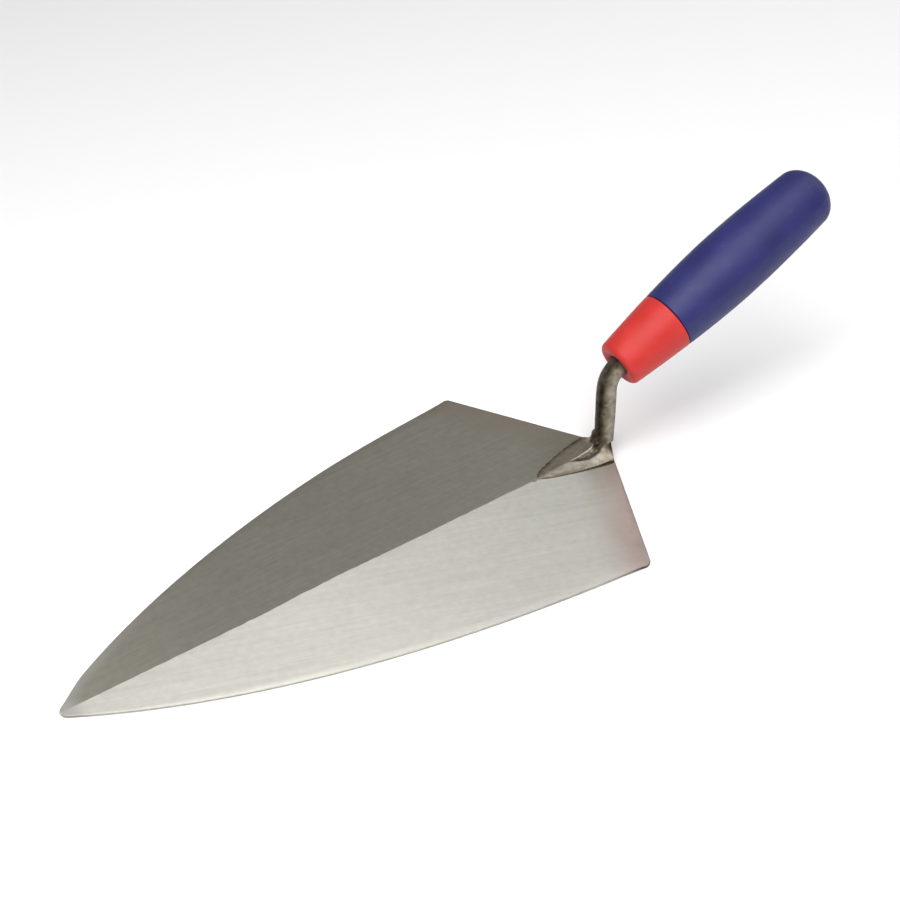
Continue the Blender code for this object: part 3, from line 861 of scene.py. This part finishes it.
def ground_steel(name, colours, roughness):
    """Steel ground in one direction, tinted by the weld's heat at the heel and worn at the tip."""
    graph = Graph(name)
    dark, light, heated, worn = colours
    grain = graph.uv("grain")
    heat, wear = graph.painted("tint")
    place = graph.place()
    fine = graph.noise(graph.stretched(grain, (70, 5200, 1)), 1.0, 2.0, 0.6)
    middle = graph.noise(graph.stretched(grain, (40, 1500, 1)), 1.0, 2.0)
    broad = graph.noise(graph.stretched(grain, (16, 500, 1)), 1.0, 2.0)
    blotch = graph.noise(place, 330.0, 3.0)
    cloud = graph.noise(place, 26.0, 3.0)
    coarse = graph.math("MULTIPLY_ADD", middle, 0.3, graph.math("MULTIPLY", broad, 0.3))
    streak = graph.math("MULTIPLY_ADD", fine, 0.4, coarse)
    mottled = graph.blend(streak, blotch, 0.72)
    dull = tuple(0.8 * value for value in dark)
    base = graph.mix(graph.remap(mottled, 0.36, 0.64), dark, light)
    base = graph.mix(graph.remap(cloud, 0.4, 0.7, 0.0, 0.1), base, dull)
    patchy = graph.math("MULTIPLY", heat, graph.remap(blotch, 0.3, 0.7, 0.85, 1.15))
    base = graph.mix(graph.remap(patchy, 0, 1), base, heated)
    base = graph.mix(wear, base, worn)
    tangent = graph.add("ShaderNodeTangent", direction_type="UV_MAP", uv_map="grain").outputs[0]
    graph.set(Base_Color=base, Metallic=1.0, Anisotropic=0.9, Anisotropic_Rotation=0.25,
              Roughness=graph.remap(streak, 0.3, 0.7, roughness - 0.02, roughness + 0.02),
              Tangent=tangent, Normal=graph.bump(mottled, 0.02 * MM, 0.35))
    return graph.material


def toned_steel(name, stops, roughness, scale, grit):
    """Steel whose lightness and mottling are painted on the mesh, for forgings and welds."""
    graph = Graph(name)
    tone, mottling = graph.painted("tone")
    place = graph.place()
    fine = graph.noise(place, scale * 3, 3.0, 0.6)
    blotch = graph.noise(place, scale, 3.0, 0.6)
    cloud = graph.noise(place, 160.0, 2.0)
    spread = graph.remap(mottling, 0, 1, 0.25, 1.1)
    shift = graph.math("MULTIPLY", graph.math("SUBTRACT", blotch, 0.5), spread)
    shift = graph.math("MULTIPLY_ADD", graph.math("SUBTRACT", cloud, 0.5), 0.35, shift)
    level = graph.math("ADD", tone, shift)
    smoothest, roughest = roughness
    graph.set(Base_Color=graph.ramp(level, stops), Metallic=1.0,
              Roughness=graph.remap(level, 0, 1, roughest, smoothest),
              Normal=graph.bump(fine, grit, 0.5))
    return graph.material


def red_plastic(name):
    graph = Graph(name)
    dark, light, dish = RED
    place = graph.place()
    cloud = graph.noise(place, 60.0, 3.0)
    flow = graph.noise(graph.stretched(place, (30, 160, 160)), 1.0, 2.0)
    fine = graph.noise(place, 2600.0, 2.0)
    mixed = graph.blend(cloud, flow, 0.5)
    base = graph.mix(graph.remap(mixed, 0.35, 0.65), dark, light)
    # Painted shade: the dished front face turns a darker red
    base = graph.mix(graph.painted("tint")[0], base, dish)
    graph.set(Base_Color=base, Roughness=graph.remap(mixed, 0.3, 0.7, 0.42, 0.52),
              Specular_IOR_Level=0.28,
              Normal=graph.bump(graph.blend(flow, fine, 0.8), 0.25 * MM, 0.5))
    return graph.material


def blue_rubber(name):
    graph = Graph(name)
    dark, light, scuffed = BLUE
    place = graph.place()
    cloud = graph.noise(place, 45.0, 3.0)
    scuff = graph.noise(graph.stretched(place, (90, 260, 260)), 1.0, 4.0, 0.6)
    fine = graph.noise(place, 2200.0, 3.0)
    base = graph.mix(graph.remap(cloud, 0.3, 0.7), dark, light)
    base = graph.mix(graph.remap(scuff, 0.62, 0.8, 0, 0.35), base, scuffed)
    graph.set(Base_Color=base, Roughness=graph.remap(scuff, 0.3, 0.7, 0.42, 0.56),
              Specular_IOR_Level=0.35,
              Normal=graph.bump(graph.blend(fine, cloud, 0.5), 0.05 * MM, 0.5))
    return graph.material


# ---------------------------------------------------------------- stage


def add_floor():
    bm = bmesh.new()
    bmesh.ops.create_grid(bm, x_segments=1, y_segments=1, size=FLOOR_HALF_SIZE)
    mesh = bpy.data.meshes.new("floor")
    bm.to_mesh(mesh)
    bm.free()
    graph = Graph("floor")
    graph.set(Base_Color=(FLOOR_TONE, FLOOR_TONE, FLOOR_TONE, 1), Roughness=0.9)
    mesh.materials.append(graph.material)
    floor = bpy.data.objects.new("floor", mesh)
    floor.location.z = -FLOOR_DROP
    bpy.context.scene.collection.objects.link(floor)


def add_light(name, location, target, size, energy):
    light = bpy.data.lights.new(name, "AREA")
    light.shape = "RECTANGLE"
    light.size, light.size_y = size
    light.energy = energy
    lamp = bpy.data.objects.new(name, light)
    lamp.location = location
    lamp.rotation_mode = "QUATERNION"
    lamp.rotation_quaternion = (Vector(target) - Vector(location)).to_track_quat("-Z", "Y")
    bpy.context.scene.collection.objects.link(lamp)


def add_lighting():
    """A large soft box overhead, towards the tip and +Y, and a weak fill behind the handle."""
    world = bpy.data.worlds.new("studio")
    world.use_nodes = True
    world.node_tree.nodes["Background"].inputs["Color"].default_value = (1, 1, 1, 1)
    world.node_tree.nodes["Background"].inputs["Strength"].default_value = WORLD_STRENGTH
    bpy.context.scene.world = world
    add_light("overhead", *OVERHEAD)
    add_light("fill", *FILL)


def add_camera():
    camera = bpy.data.cameras.new("camera")
    camera.lens = CAMERA_LENS
    camera.sensor_width = CAMERA_SENSOR
    holder = bpy.data.objects.new("camera", camera)
    azimuth, elevation = math.radians(CAMERA_AZIMUTH), math.radians(CAMERA_ELEVATION)
    back = Vector((math.sin(azimuth) * math.cos(elevation),
                   -math.cos(azimuth) * math.cos(elevation), math.sin(elevation)))
    holder.location = HEEL + CAMERA_TARGET + back * CAMERA_DISTANCE
    holder.rotation_mode = "QUATERNION"
    holder.rotation_quaternion = (-back).to_track_quat("-Z", "Y")
    bpy.context.scene.collection.objects.link(holder)
    bpy.context.scene.camera = holder


bpy.context.scene.view_settings.view_transform = "Standard"
add_camera()
add_floor()
add_lighting()
add_blade(ground_steel("ground_near", NEAR_FACET, FACET_ROUGHNESS),
          ground_steel("ground_far_shaded", FAR_FACET_SHADED, FACET_ROUGHNESS),
          ground_steel("ground_rim", RIM, RIM_ROUGHNESS))
forged = toned_steel("forged", FORGED, roughness=(0.5, 0.62), scale=420.0, grit=0.06 * MM)
weld = toned_steel("weld", WELD, roughness=(0.52, 0.66), scale=700.0, grit=0.1 * MM)
add_shank(forged)
add_bolster(forged)
add_side_bead("weld_bead_left", 1, "weld_left", weld)
add_side_bead("weld_bead_right", -1, "weld_right", weld)
add_toe_weld(weld)
add_neck_weld(weld)
add_handle_core(red_plastic("red"))
add_grip(blue_rubber("blue"))
